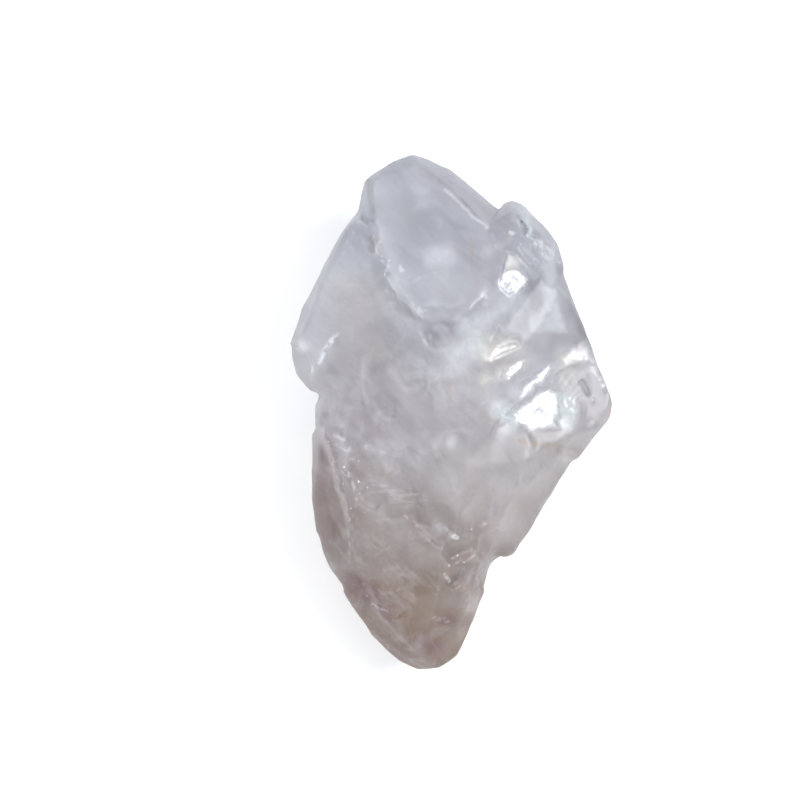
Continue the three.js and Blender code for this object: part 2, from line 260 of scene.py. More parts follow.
# Places broken into small facets, each turned its own way: middle, radius, size of a facet
# and how far it may turn
shingles = [
    (10.4, 0.4, 1.3, 0.5, 0.14), (11.6, 5.4, 1.0, 0.5, 0.1), (8.0, 0.2, 1.5, 0.6, 0.07),
    (5.2, 0.2, 1.2, 0.6, 0.16), (4.6, 5.8, 1.3, 0.6, 0.08), (5.8, 12.0, 1.3, 0.55, 0.09),
    (7.9, 2.9, 1.0, 0.5, 0.08), (5.8, 4.1, 0.9, 0.5, 0.12),
    (8.0, 15.0, 1.6, 0.5, 0.12), (-10.0, -4.6, 2.0, 0.7, 0.1), (-9.2, -7.4, 1.3, 0.6, 0.1),
    (-6.8, -17.8, 1.0, 0.5, 0.16),
]

# Places with painted glints: white dots where small facets would glitter
glitters = [
    (-7.1, 16.6, -6.9, 15.0, 0.9, 1.0), (-6.3, 14.2, -4.6, 13.3, 0.8, 0.7),
    (-10.7, -1.6, -8.6, -8.6, 1.9, 0.9), (-8.6, -5.0, -8.2, -7.6, 1.2, 0.8),
    (3.3, -10.1, 1.4, -12.0, 1.5, 1.0), (1.2, -12.6, 0.8, -15.4, 1.5, 0.8),
    (-0.9, -13.8, -0.6, -14.2, 1.0, 0.8), (-7.6, -17.4, -6.2, -18.2, 0.9, 1.0),
    (-5.2, -8.6, -3.4, -10.0, 2.4, 0.5), (7.0, 16.4, 9.2, 13.8, 2.0, 0.45),
    (11.6, 2.9, 13.2, 1.0, 0.9, 0.6), (-4.0, 8.6, -5.4, 7.8, 2.0, 0.3),
]

# Places with fine growth lines
lined = [
    (-7.6, -6.9, -3.2, -7.6, 2.4, 0.9), (-7.6, 0.6, -3.4, -1.6, 3.0, 0.35),
    (-9.6, 11.8, -5.8, 11.8, 1.2, 0.6), (-3.4, 12.0, 0.4, 11.0, 3.4, 0.3),
    (-7.8, -3.3, -3.4, -3.9, 1.8, 0.4),
]

# Strokes: thin veils and feathers with ragged edges, in cracks and along broken edges, and
# painted glints where the broken edges of the plate and of the left ridge sparkle
veilAndGlintStrokes = [
    (-0.5, 20.8, 3.4, 17.4, 0.14, 0.7), (-7.1, 21.2, -7.0, 20.4, 0.35, 0.4),
    (-7.0, 16.6, -7.0, 15.2, 0.6, 0.55), (-6.4, 14.3, -5.9, 14.0, 0.5, 0.55),
    (-7.5, 15.0, -6.9, 14.9, 0.4, 0.4), (-4.8, 13.9, -4.6, 13.4, 0.5, 0.5),
    (-5.8, 13.7, -4.1, 10.9, 0.3, 0.4), (-5.3, 13.2, -3.6, 10.9, 0.2, 0.3),
    (-5.9, 11.4, -5.2, 10.5, 0.9, 0.55), (-4.1, 12.4, -1.5, 13.3, 0.2, 0.3),
    (-3.7, 10.0, -2.6, 9.5, 0.9, 0.5), (-1.8, 8.7, -1.1, 8.2, 1.1, 0.25),
    (0.6, 7.1, 2.2, 9.0, 0.8, 0.2), (2.5, 10.1, 6.2, 11.2, 0.6, 0.35),
    (3.8, 6.9, 4.3, 8.6, 0.35, 0.5), (4.3, 8.6, 5.5, 7.1, 0.35, 0.45),
    (5.2, 8.0, 5.8, 9.8, 0.4, 0.35), (6.8, 10.4, 7.6, 9.4, 0.5, 0.3),
    (-8.6, 17.9, -10.4, 14.5, 0.5, 0.3), (-9.5, 12.0, -5.8, 11.9, 0.14, 0.3),
    (-9.2, 11.6, -5.9, 11.7, 0.14, 0.3), (-10.6, 7.6, -12.9, 4.1, 0.4, 0.8),
    (2.6, 10.9, 4.1, 11.4, 0.9, 0.3), (5.6, 17.1, 5.8, 17.0, 0.35, 0.6),
    (6.9, 18.4, 7.4, 17.0, 0.4, 0.6), (7.1, 16.7, 8.4, 15.6, 0.22, 0.5),
    (7.1, 16.7, 8.1, 16.8, 0.2, 0.4), (5.8, 15.3, 7.1, 13.7, 0.24, 0.5),
    (6.2, 15.6, 7.4, 14.1, 0.18, 0.45), (6.6, 15.7, 7.8, 14.4, 0.18, 0.4),
    (8.2, 15.9, 9.3, 14.6, 1.1, 0.5), (9.4, 15.6, 10.0, 14.2, 0.4, 0.4),
    (13.5, 3.8, 14.2, 2.7, 0.5, 0.7), (6.4, 3.2, 7.4, 3.9, 0.8, 0.4),
    (3.7, 6.9, 5.8, 7.2, 0.6, 0.4), (6.4, 0.9, 8.9, 3.2, 0.3, 0.3),
    (-7.8, -3.0, -6.2, -3.5, 0.5, 0.4), (-5.7, -2.6, -4.3, -3.0, 0.6, 0.35),
    (-4.3, -3.8, -3.4, -4.4, 0.6, 0.3), (-10.9, -1.9, -9.9, -2.3, 0.35, 0.5),
    (-10.7, -2.8, -9.4, -3.5, 0.35, 0.5), (-10.2, -4.0, -9.0, -4.3, 0.4, 0.4),
    (-10.0, -5.2, -9.5, -5.6, 0.6, 0.6), (-9.3, -6.3, -8.7, -7.4, 0.5, 0.4),
    (-12.0, -1.4, -9.6, -9.8, 0.2, 0.4), (-9.6, -9.8, -9.4, -13.6, 0.16, 0.3),
    (-1.8, -2.8, 0.4, -7.5, 0.3, 0.15), (-1.0, -10.3, 0.3, -11.4, 0.6, 0.35),
    (0.3, -11.4, 0.5, -11.5, 0.5, 0.8), (-4.4, -9.3, -4.0, -9.8, 0.22, 0.7),
    (-0.6, -15.0, -0.2, -15.4, 0.5, 0.5), (-5.6, -16.6, -4.6, -15.9, 0.6, 0.3),
    (-7.4, -17.6, -6.0, -18.4, 0.2, 0.5), (-1.5, -18.9, 0.1, -19.4, 0.5, 0.3),
    (1.6, -15.8, 2.3, -17.4, 0.5, 0.3),
]

# Glows: milky places, and painted light: painted highlights such as the bright spot on the left
# lobe and the blocks of the fracture, and light painted over walls in shade, as at the plate's foot
milkAndLightGlows = [
    (-1.6, 14.7, -0.5, 14.8, 2.0, 0.45), (-6.6, 21.3, -5.4, 19.4, 3.4, 0.16),
    (-3.6, 12.2, 1.2, 12.0, 3.6, 0.16), (-11.4, 12.8, -12.6, 8.6, 5.0, 0.28),
    (-8.6, 13.0, -8.4, 10.0, 4.0, 0.14), (-13.8, 6.5, -13.7, 6.4, 0.9, 0.9),
    (-9.4, 7.4, -9.0, 6.6, 1.8, 0.15), (2.0, 2.5, 4.2, 2.3, 2.2, 0.18),
    (6.4, -2.6, 8.4, -6.2, 3.0, 0.2), (-2.6, -17.4, -2.4, -18.6, 2.4, 0.14),
    (7.6, 7.2, 8.6, 7.0, 1.4, 0.2), (-7.0, 18.2, -6.8, 16.4, 1.4, 0.15),
    (-11.9, 5.8, -13.2, 4.2, 1.6, 0.25), (-13.6, 5.0, -13.4, 5.8, 3.2, 0.15),
    (-4.4, -11.8, -2.8, -13.4, 2.6, 0.14),
    (-6.6, 16.4, -5.4, 11.6, 2.2, 0.24), (-4.6, 10.4, -2.4, 9.0, 1.6, 0.1),
    (-8.0, 4.1, -7.7, -0.5, 0.8, 0.18), (0.4, 5.7, 2.6, 5.9, 2.2, 0.55),
    (-0.2, 3.9, 1.0, 4.1, 1.6, 0.4), (1.2, 8.4, 5.4, 9.9, 1.8, 0.35),
    (1.6, 6.8, 3.4, 8.8, 1.4, 0.25), (9.2, 14.0, 9.4, 9.2, 1.1, 0.4),
    (3.6, 11.2, 5.0, 10.6, 1.4, 0.25), (5.2, 7.4, 6.0, 9.4, 1.2, 0.25),
    (10.2, 8.2, 10.3, 8.1, 0.6, 0.4), (10.6, 5.4, 12.6, 5.4, 1.6, 0.5),
    (11.7, 5.8, 11.8, 5.7, 0.8, 0.7), (4.6, 0.7, 5.4, -0.7, 1.5, 0.6),
    (10.6, 1.4, 10.9, -1.0, 1.6, 0.4), (3.0, 3.4, 3.1, 3.2, 1.1, 0.5),
    (3.4, 6.1, 6.2, 6.2, 2.2, 0.4), (4.9, 4.1, 7.6, 4.8, 1.8, 0.35),
    (10.4, 4.0, 12.0, 2.8, 2.4, 0.25), (6.6, -2.0, 11.8, -2.6, 2.0, 0.1),
    (5.4, -0.4, 9.6, 3.6, 3.0, 0.3), (13.2, 2.6, 14.2, 0.6, 1.8, 0.1),
    (-0.1, -2.5, 0.0, -2.4, 0.9, 0.5), (-0.5, 20.8, 3.4, 17.4, 0.3, 0.45),
    (-9.2, 11.4, -6.4, 6.4, 4.6, 0.14), (-6.6, 11.6, -2.8, 8.2, 1.8, 0.14),
    (5.8, 2.2, 6.2, 2.0, 1.2, 0.5), (6.2, 11.0, 6.6, 10.8, 1.3, 0.5),
    (2.8, 17.6, 3.2, 12.8, 2.4, 0.05), (1.2, 8.8, 2.6, 7.2, 1.5, 0.25),
    (1.9, -16.6, 2.2, -17.8, 1.3, 0.3), (-12.0, -1.4, -9.6, -9.8, 0.4, 0.3),
    (12.6, 4.7, 13.4, 4.3, 1.1, 0.4), (4.0, 0.8, 4.3, 0.0, 1.2, 0.35),
    (4.8, -6.2, 4.8, -9.6, 3.0, 0.12), (4.2, -10.4, 4.0, -11.2, 1.8, 0.2),
    (0.0, -5.4, 3.6, -7.2, 4.0, 0.18), (-0.3, -6.6, 1.6, -9.3, 2.4, 0.26),
    (5.6, -6.4, 6.8, -6.8, 2.0, 0.15), (3.8, -8.4, 6.6, -11.2, 3.4, 0.14),
    (-7.4, -8.2, -5.0, -11.0, 3.2, 0.16), (-7.6, -14.4, -5.2, -15.8, 2.0, 0.2),
    (-2.6, -13.2, -0.2, -13.4, 2.2, 0.14), (-0.4, -17.4, 1.8, -17.8, 1.8, 0.16),
    (1.4, -18.4, -0.6, -22.4, 1.4, 0.14), (-3.6, 5.4, -2.0, 5.8, 1.8, 0.12),
    (-3.8, 1.6, -0.8, 0.4, 2.8, 0.1), (-7.8, -3.0, -6.2, -3.5, 1.0, 0.22),
    (-5.7, -2.6, -4.3, -3.0, 1.0, 0.22), (-4.3, -3.8, -3.4, -4.4, 1.0, 0.15),
]

# Patches with clearer edges: outline, softness of the edge, and strength. The milky patches
# are partly painted highlights on the bright blocks and bands of the fracture
milkAndLightPatches = [
    ([(7.2, 7.6), (9.2, 7.5), (10.8, 7.7), (10.4, 9.2), (9.8, 10.4), (8.9, 10.6), (8.2, 9.7),
      (7.2, 8.8)], 0.5, 0.5),
    ([(8.9, 10.0), (9.8, 10.0), (9.7, 12.1), (9.4, 14.2), (8.8, 14.2), (8.9, 12.5)], 0.8, 0.25),
    ([(9.9, 2.0), (11.5, 1.5), (11.8, 0.2), (11.2, -1.2), (9.9, -1.6)], 0.6, 0.6),
    ([(9.2, 4.4), (10.2, 4.5), (12.2, 4.3), (12.3, 2.6), (11.6, 1.6), (10.2, 2.4)], 0.6, 0.35),
    ([(5.5, 15.1), (6.4, 13.7), (5.0, 13.2), (5.1, 14.2)], 0.4, 0.6),
    ([(3.8, 8.8), (5.2, 6.9), (5.6, 6.9), (4.9, 9.0), (4.3, 9.1)], 0.5, 0.3),
    ([(-1.7, -3.0), (0.6, -7.6), (3.0, -9.0), (5.6, -5.6), (4.4, -2.6), (1.0, -1.6)], 0.6, 0.1),
    ([(1.4, -8.4), (3.4, -7.8), (7.4, -7.4), (8.0, -9.4), (6.4, -12.0), (3.0, -13.2), (2.0, -11.0)], 0.6, 0.1),
]
# patches of painted shade on the riser band and the right edge's strip, faces turned from the light
shadePatches = [
    ([(7.2, 7.3), (10.8, 7.5), (11.8, 6.8), (10.0, 5.7), (8.8, 5.0), (7.2, 5.4), (6.8, 6.4)], 0.8, 0.1),
    ([(9.6, 4.0), (6.0, 0.6), (5.6, 0.2), (6.0, -0.2), (7.8, 1.2), (9.9, 3.4)], 0.4, 0.15),
    ([(9.9, 14.0), (11.0, 13.8), (12.0, 11.4), (12.9, 8.3), (13.9, 4.9), (12.9, 5.1), (12.4, 6.5),
      (11.8, 7.8), (11.0, 9.8), (10.4, 11.8)], 0.7, 0.5),
    ([(6.9, 11.2), (7.4, 12.6), (8.4, 13.2), (8.5, 11.0), (7.6, 9.8)], 0.7, 0.3),
]

# Glows: where the whitish places, painted highlights among them, are tinted cream, and where pale
# blue-green
creams = [
    (3.4, 6.2, 5.4, 6.6, 2.2, 0.9), (3.0, 3.5, 3.1, 3.2, 1.6, 0.9), (5.9, 14.6, 5.6, 13.6, 1.2, 0.9),
    (6.2, 4.7, 7.0, 5.0, 0.9, 0.6), (10.2, 5.6, 11.6, 5.0, 1.2, 0.6), (7.0, -2.4, 11.4, -3.0, 1.8, 0.6),
    (-7.0, -5.4, -6.2, -5.5, 0.9, 1.0), (-7.0, 16.2, -7.0, 15.2, 0.9, 0.6),
    (-9.2, 11.4, -6.4, 5.4, 4.2, 0.8), (-6.6, 11.6, -2.8, 8.2, 1.8, 0.4),
    (3.8, 4.8, 4.8, 4.4, 1.4, 0.8),
    (10.6, 4.2, 11.8, 2.4, 1.8, 0.5),
]
aquas = [
    (4.8, 0.6, 5.4, -0.6, 1.3, 0.6), (10.6, 1.6, 10.9, -1.0, 1.8, 0.8), (5.0, 12.0, 6.6, 11.8, 1.4, 0.4),
    (1.2, 7.6, 2.4, 6.6, 1.4, 0.5),
    (6.9, 18.2, 7.5, 16.8, 1.2, 0.9), (7.6, 2.4, 9.2, 3.8, 0.9, 0.5), (0.4, 5.8, 2.4, 5.8, 2.0, 0.3),
    (9.2, 13.0, 9.4, 9.0, 1.6, 0.5), (8.6, 1.6, 10.0, 0.4, 1.4, 0.6),
]

# Glows: painted shade in the pit below the plate, the slit, the cracks and on faces turned
# from the light, and greyer, less clear places
shades = [
    (-4.5, 19.5, -2.4, 17.6, 3.0, 0.25), (-7.7, 21.7, -7.3, 18.4, 0.6, 0.55),
    (-2.0, 7.3, -1.6, 7.2, 1.4, 0.6), (-7.6, 12.6, -6.6, 10.4, 1.4, 0.12),
    (-13.9, 9.2, -13.5, 8.4, 1.0, 0.3), (6.4, 18.5, 6.9, 17.3, 0.35, 1.0),
    (12.2, 3.1, 13.2, 1.0, 0.5, 0.8), (6.7, 4.2, 9.4, 5.2, 0.7, 0.2),
    (-3.4, 6.4, -7.4, 4.1, 1.0, 0.25), (-1.4, 4.6, -1.2, 4.4, 0.8, 0.3),
    (-2.6, -4.0, -1.2, -8.4, 2.4, 0.1), (1.0, -15.0, 1.2, -14.6, 0.8, 0.3),
    (7.4, -2.1, 9.6, -2.2, 0.8, 0.3),
    (13.0, 3.0, 14.0, 1.2, 1.4, 0.25), (10.7, 3.8, 11.3, 2.8, 0.3, 0.4), (9.9, 3.6, 10.5, 2.6, 0.3, 0.35),
    (11.5, 4.0, 12.0, 3.0, 0.3, 0.35),
    (4.0, -13.0, 2.2, -15.6, 1.4, 0.25), (8.1, 0.6, 8.6, 0.6, 0.4, 0.35),
    (2.2, -3.8, 3.0, -4.0, 1.4, 0.15),
]

# Glows: smoky, brown-lilac places, partly painted shade on the left side facet and beside the tip
smokeAndShadeGlows = [
    (-11.9, -3.0, -11.6, -11.9, 2.6, 0.65), (-8.4, -16.0, -6.6, -17.8, 2.4, 0.95),
    (-0.6, -19.3, 0.6, -19.0, 1.1, 0.9), (-2.8, -21.3, -1.2, -21.8, 1.3, 0.8),
    (-6.2, -20.6, -4.8, -22.0, 1.8, 0.45),
    (-3.2, -10.2, -2.4, -11.4, 1.5, 0.65), (-8.6, 7.4, -6.0, 1.6, 5.6, 0.24),
    (-10.6, 2.0, -10.2, -0.4, 3.0, 0.14), (-8.4, 10.6, -6.4, 6.4, 3.6, 0.08),
    (3.8, -13.0, 4.2, -13.4, 1.5, 0.45), (1.8, -15.0, 2.2, -15.8, 1.5, 0.35),
    (-4.6, -22.0, -2.0, -22.4, 2.0, 0.3), (-0.6, 2.6, 0.4, 1.2, 1.0, 0.25),
    (-9.4, 4.2, -7.2, -0.4, 4.6, 0.14), (-8.9, -5.6, -8.6, -9.4, 1.2, 0.3),
    (-7.0, 0.4, -7.0, -2.0, 1.8, 0.22), (-9.3, -4.0, -9.0, -4.8, 1.8, 0.45),
    (-1.6, 22.4, 3.6, 18.4, 2.0, 0.16), (2.6, 15.4, 3.4, 13.0, 2.4, 0.14),
    (3.0, 5.0, 4.6, 4.8, 0.9, 0.2), (-10.6, 9.6, -8.6, 12.0, 5.0, 0.1),
]

# Strokes: thin iron stains in cracks and along edges
ironStains = [
    (5.3, 18.2, 5.0, 15.0, 0.7, 0.14), (1.9, 16.3, 1.8, 14.7, 0.24, 0.35),
    (1.8, 14.7, 2.5, 11.6, 0.2, 0.25), (2.9, -0.1, 3.5, -0.5, 0.45, 0.4),
    (3.6, -0.5, 5.0, -1.0, 0.3, 0.25), (6.4, -2.3, 8.2, -2.9, 0.3, 0.5),
    (9.0, -2.9, 9.8, -2.8, 0.35, 0.35), (10.8, -3.2, 11.3, -3.0, 0.5, 0.35),
    (14.8, 0.6, 14.5, -0.5, 0.25, 0.5),
    (-6.9, -5.4, -6.3, -5.5, 0.6, 0.25), (-7.5, 16.4, -7.3, 16.0, 0.5, 0.25),
    (11.6, 6.6, 11.7, 6.4, 0.4, 0.4), (3.1, 6.0, 3.3, 4.6, 0.6, 0.1),
    (3.6, 5.0, 5.2, 5.1, 0.6, 0.1), (-0.4, 2.6, 0.2, 1.8, 0.7, 0.18),
    (1.2, -17.0, 1.4, -16.2, 0.6, 0.25),
]


def distanceTo(points, x1, y1, x2, y2):
    # from the line between two places
    start = numpy.array((x1, y1))
    along = numpy.array((x2 - x1, y2 - y1))
    share = numpy.clip((points[:, :2] - start) @ along / (along @ along), 0, 1)
    return numpy.linalg.norm(points[:, :2] - start - share[:, None] * along, axis=1)


def strokeShare(points, strokes):
    # how strongly each point lies in the strokes, from 0 to 1
    clear = numpy.ones(len(points))
    for x1, y1, x2, y2, width, strength in strokes:
        soft = numpy.clip(1.5 - 2 * distanceTo(points, x1, y1, x2, y2) / width, 0, 1)
        clear *= 1 - strength * soft * soft * (3 - 2 * soft)
    return 1 - clear


def glowShare(points, glows):
    clear = numpy.ones(len(points))
    for x1, y1, x2, y2, width, strength in glows:
        away = distanceTo(points, x1, y1, x2, y2) / width
        clear *= 1 - strength * numpy.exp(-3 * away * away)
    return 1 - clear


def spotShare(points, spots):
    best = numpy.zeros(len(points))
    for x, y, radius in spots:
        away = numpy.hypot(points[:, 0] - x, points[:, 1] - y) / radius
        soft = numpy.clip((1.2 - away) / 0.4, 0, 1)
        best = numpy.maximum(best, soft * soft * (3 - 2 * soft))
    return best


def outlineShare(points, outline, softness):
    # 1 inside an outline and 0 outside it, with a soft edge
    nearest = numpy.full(len(points), 1e9)
    inside = numpy.zeros(len(points), dtype=bool)
    x, y = points[:, 0], points[:, 1]
    for (x1, y1), (x2, y2) in zip(outline, outline[1:] + outline[:1]):
        dx, dy = x2 - x1, y2 - y1
        share = numpy.clip(((x - x1) * dx + (y - y1) * dy) / (dx * dx + dy * dy), 0, 1)
        nearest = numpy.minimum(nearest, numpy.hypot(x - x1 - share * dx, y - y1 - share * dy))
        if y1 != y2:
            inside ^= ((y1 > y) != (y2 > y)) & (x < x1 + (y - y1) * dx / dy)
    return numpy.clip(0.5 + numpy.where(inside, nearest, -nearest) / softness, 0, 1)


def patchShare(points, patches):
    clear = numpy.ones(len(points))
    for outline, softness, strength in patches:
        clear *= 1 - strength * outlineShare(points, outline, softness)
    return 1 - clear


def seenPlaces(points, s):
    # where the points show from the camera, at the height that the lists are given for: with
    # an uneven offset, so that strokes get broken, natural sides
    coarse = numpy.array([noise.noise_vector(Vector(point) / 1.3) for point in points])
    fine = numpy.array([noise.noise_vector(Vector(point) / 0.5) for point in points])
    places = points + 0.22 * coarse + 0.08 * fine
    distance = s["frameWidth"] * s["lens"] / s["sensor"]
    nearer = distance / (distance + s["aimZ"] - points[:, 2])
    places[:, 0] = s["aimX"] + (places[:, 0] - s["aimX"]) * nearer
    places[:, 1] = s["aimY"] + (places[:, 1] - s["aimY"]) * nearer
    return places


def frontShare(points, normals, turn=0.0):
    # 1 where the surface faces the front, down to 0 where it turns away by more than turn
    return numpy.clip((normals[:, 2] + turn) / 0.35, 0, 1) * numpy.clip((points[:, 2] - 3) / 2, 0, 1)


def readMesh(mesh):
    count = len(mesh.vertices)
    points = numpy.empty(count * 3)
    normals = numpy.empty(count * 3)
    mesh.vertices.foreach_get("co", points)
    mesh.vertices.foreach_get("normal", normals)
    return points.reshape(-1, 3) / mm, normals.reshape(-1, 3)


def writePoints(mesh, points):
    points[:, 2] = numpy.maximum(points[:, 2], 0.0)
    mesh.vertices.foreach_set("co", (points * mm).ravel())
    mesh.update()


def addGroup(stone, name, shares):
    group = stone.vertex_groups.new(name=name)
    for index, share in enumerate(shares.tolist()):
        group.add([index], share, "REPLACE")


def softenStone(stone, s):
    points, normals = readMesh(stone.data)
    front = numpy.clip((normals[:, 2] + 0.1) / 0.3, 0, 1)
    back = numpy.clip((-normals[:, 2] - 0.3) / 0.4, 0, 1)
    lying = (points[:, 2] < s["lying"]) & (normals[:, 2] < -0.8)
    sharp = numpy.maximum(spotShare(points, sharpPlaces) * front, 0.6 * (1 - front))
    smooth = spotShare(points, smoothPlaces) * front
    depth = s["sideFlakes"] + (s["frontFlakes"] - s["sideFlakes"]) * front + (1 - s["sideFlakes"]) * back
    addGroup(stone, "body", numpy.where(lying, 0.0, 1.0 - 0.9 * sharp))
    hollow = numpy.maximum(spotShare(points, hollows) * front, spotShare(points, roundSides))
    addGroup(stone, "hollow", hollow)
    addGroup(stone, "flaked", numpy.where(lying, 0.0, depth * (1.0 - 0.96 * smooth)))
    applyModifier(stone, "SMOOTH", {
        "factor": 0.5, "iterations": s["bodySmoothing"], "vertex_group": "body",
    })
    applyModifier(stone, "SMOOTH", {
        "factor": 0.5, "iterations": s["hollowSmoothing"], "vertex_group": "hollow",
    })


def cutFlakes(stone):
    # dished flakes that meet in sharp ridges
    for size, height in flakes:
        texture = bpy.data.textures.new("flakes" + str(size), "VORONOI")
        texture.noise_scale = size * mm
        texture.distance_metric = "DISTANCE_SQUARED"
        applyModifier(stone, "DISPLACE", {
            "texture": texture, "texture_coords": "LOCAL", "strength": height * mm,
            "mid_level": 0.3, "vertex_group": "flaked",
        })
    stone.vertex_groups.clear()


def ledgeLift(points, s):
    # thin ledges that follow the curves of the fracture
    curve = numpy.array([noise.noise(Vector(point) / s["ledgeWave"]) for point in points])
    level = (1.5 * curve + 0.12 * points[:, 1] + 0.08 * points[:, 0]) * 4.0
    part = level - numpy.floor(level)
    return s["ledge"] * (numpy.clip(part / 0.25, 0, 1) - part)


def setFlat(points, share, fall):
    # brings what lies in a share of the points to one flat face
    held = share > 0.5
    middle = points[held].mean(axis=0)
    face = middle[2] + fall[0] * (points[:, 0] - middle[0]) + fall[1] * (points[:, 1] - middle[1])
    points[:, 2] += (face - points[:, 2]) * share


def shingleLift(broken, front):
    lift = numpy.zeros(len(broken))
    for x, y, radius, size, turn in shingles:
        share = spotShare(broken, [(x, y, radius)]) * front
        for index in numpy.nonzero(share > 0.02)[0].tolist():
            place = Vector((broken[index, 0], broken[index, 1], 0.0)) / size
            middle = noise.voronoi(place)[1][0]
            way = noise.cell_vector(middle * 7.0) * 2.0 - Vector((1.0, 1.0, 1.0))
            lift[index] += share[index] * turn * size * (place - middle).dot(way)
    return lift


def cutDetail(stone, s):
    points, normals = readMesh(stone.data)
    front = frontShare(points, normals)
    broken = seenPlaces(points, cameraSettings)
    lift = ledgeLift(points, s) * (1.0 - spotShare(points, smoothPlaces))
    for x1, y1, x2, y2, width, height in creases:
        lift += height * strokeShare(broken, [(x1, y1, x2, y2, width, 1.0)])
    for x, y, radius, turn, spacing, height in ripples:
        across = math.radians(turn + 90)
        way = broken[:, 0] * math.cos(across) + broken[:, 1] * math.sin(across)
        lift += height * numpy.sin(2 * math.pi * way / spacing) * spotShare(points, [(x, y, radius)])
    points[:, 2] += lift * front
    for outline, fall, gloss in facets.values():
        setFlat(points, outlineShare(broken, outline, s["facetBlend"]) * front, fall)
    points[:, 2] += shingleLift(broken, front)
    writePoints(stone.data, points)


def thinRest(stone, s):
    # fewer faces on the sides and the back, so that the front can keep its own
    normals = numpy.empty(len(stone.data.polygons) * 3)
    stone.data.polygons.foreach_get("normal", normals)
    rest = normals.reshape(-1, 3)[:, 2] < 0.25
    makeActive(stone)
    bpy.ops.object.mode_set(mode="EDIT")
    bpy.ops.mesh.select_all(action="DESELECT")
    bpy.ops.object.mode_set(mode="OBJECT")
    stone.data.polygons.foreach_set("select", rest)
    bpy.ops.object.mode_set(mode="EDIT")
    bpy.ops.mesh.select_mode(type="FACE")
    kept = s["triangles"] - 2 * int((~rest).sum())
    bpy.ops.mesh.decimate(ratio=kept / (2 * int(rest.sum())))
    bpy.ops.object.mode_set(mode="OBJECT")


def ridgeShare(mesh, points, normals):
    # 1 on sharp ridges and 0 on flat or hollow places
    ends = numpy.empty(len(mesh.edges) * 2, dtype=numpy.int64)
    mesh.edges.foreach_get("vertices", ends)
    first, second = ends.reshape(-1, 2).T
    count = numpy.bincount(ends, minlength=len(points))
    middle = numpy.empty_like(points)
    for axis in range(3):
        middle[:, axis] = (
            numpy.bincount(first, points[second, axis], len(points))
            + numpy.bincount(second, points[first, axis], len(points))
        ) / count
    length = numpy.linalg.norm(points[first] - points[second], axis=1)
    total = numpy.bincount(first, length, len(points)) + numpy.bincount(second, length, len(points))
    bend = ((points - middle) * normals).sum(axis=1) / (total / count)
    return numpy.clip((bend - 0.05) / 0.25, 0, 1)


def paintStone(stone, s):
    points, normals = readMesh(stone.data)
    front = frontShare(points, normals)
    wide = frontShare(points, normals, 0.15)
    broken = seenPlaces(points, cameraSettings)
    mirror = numpy.zeros(len(points))
    for outline, fall, gloss in facets.values():
        mirror = numpy.maximum(mirror, gloss * outlineShare(broken, outline, 0.5))
    # milky veils together with painted highlights and painted light
    milkAndLight = numpy.maximum(glowShare(broken, milkAndLightGlows), patchShare(broken, milkAndLightPatches))
    shade = numpy.maximum(glowShare(broken, shades), patchShare(broken, shadePatches))
    shingled = spotShare(broken, [shingle[:3] for shingle in shingles])
    # painted shade along the rim, where the front turns steeply away
    paintedRimShade = numpy.clip(1.0 - numpy.abs(normals[:, 2] - 0.15) / 0.2, 0, 1) * (wide > 0)
    layers = {
        # veils, and painted glints along broken edges
        "veilAndGlint": strokeShare(broken, veilAndGlintStrokes) * front,
        # the clean breaks are painted milky white too: a painted highlight where they flash
        "milkAndLight": numpy.maximum(milkAndLight * wide, 0.7 * mirror * front),
        "cream": glowShare(broken, creams) * wide,
        "aqua": glowShare(broken, aquas) * wide,
        "chipped": 1.0 - spotShare(points, smoothPlaces) * front,
        "shade": numpy.maximum(shade * wide, 0.35 * paintedRimShade),
        # the smoky colour, partly painted shade
        "smokeAndShade": s["smokeAndShadeDepth"] * glowShare(broken, smokeAndShadeGlows) * wide,
        "iron": strokeShare(broken, ironStains) * front,
        "lined": strokeShare(broken, lined) * front,
        "glitter": strokeShare(broken, glitters) * front,
        "mirror": numpy.maximum(mirror, 0.25 * shingled) * front,
        "ridge": ridgeShare(stone.data, points, normals),
    }
    for name, shares in layers.items():
        layer = stone.data.attributes.new(name, "FLOAT", "POINT")
        layer.data.foreach_set("value", shares.astype(numpy.float32))


def makeStone(s):
    stone = bpy.data.objects.new("rough_quartz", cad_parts["quartz_stone"].data.copy())
    bpy.context.collection.objects.link(stone)
    makeActive(stone)
    bpy.ops.object.mode_set(mode="EDIT")
    bpy.ops.mesh.select_all(action="SELECT")
    bpy.ops.mesh.remove_doubles(threshold=0.001 * mm)
    bpy.ops.object.mode_set(mode="OBJECT")
    applyModifier(stone, "REMESH", {"mode": "VOXEL", "voxel_size": s["voxel"] * mm})
    applyModifier(stone, "SMOOTH", {"factor": 0.5, "iterations": s["edgeSmoothing"]})
    print("surface of the stone made:", len(stone.data.vertices), "points")
    softenStone(stone, s)
    cutFlakes(stone)
    cutDetail(stone, s)
    thinRest(stone, s)
    print("flakes, ledges and facets cut:", len(stone.data.polygons), "faces")
    paintStone(stone, s)
    makeActive(stone)
    bpy.ops.object.shade_smooth_by_angle(angle=math.radians(s["creaseAngle"]))
    stone.data.materials.clear()
    stone.data.materials.append(quartzMaterial(quartzSettings))
    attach(stone, "root")
    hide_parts("quartz_stone")
    return stone


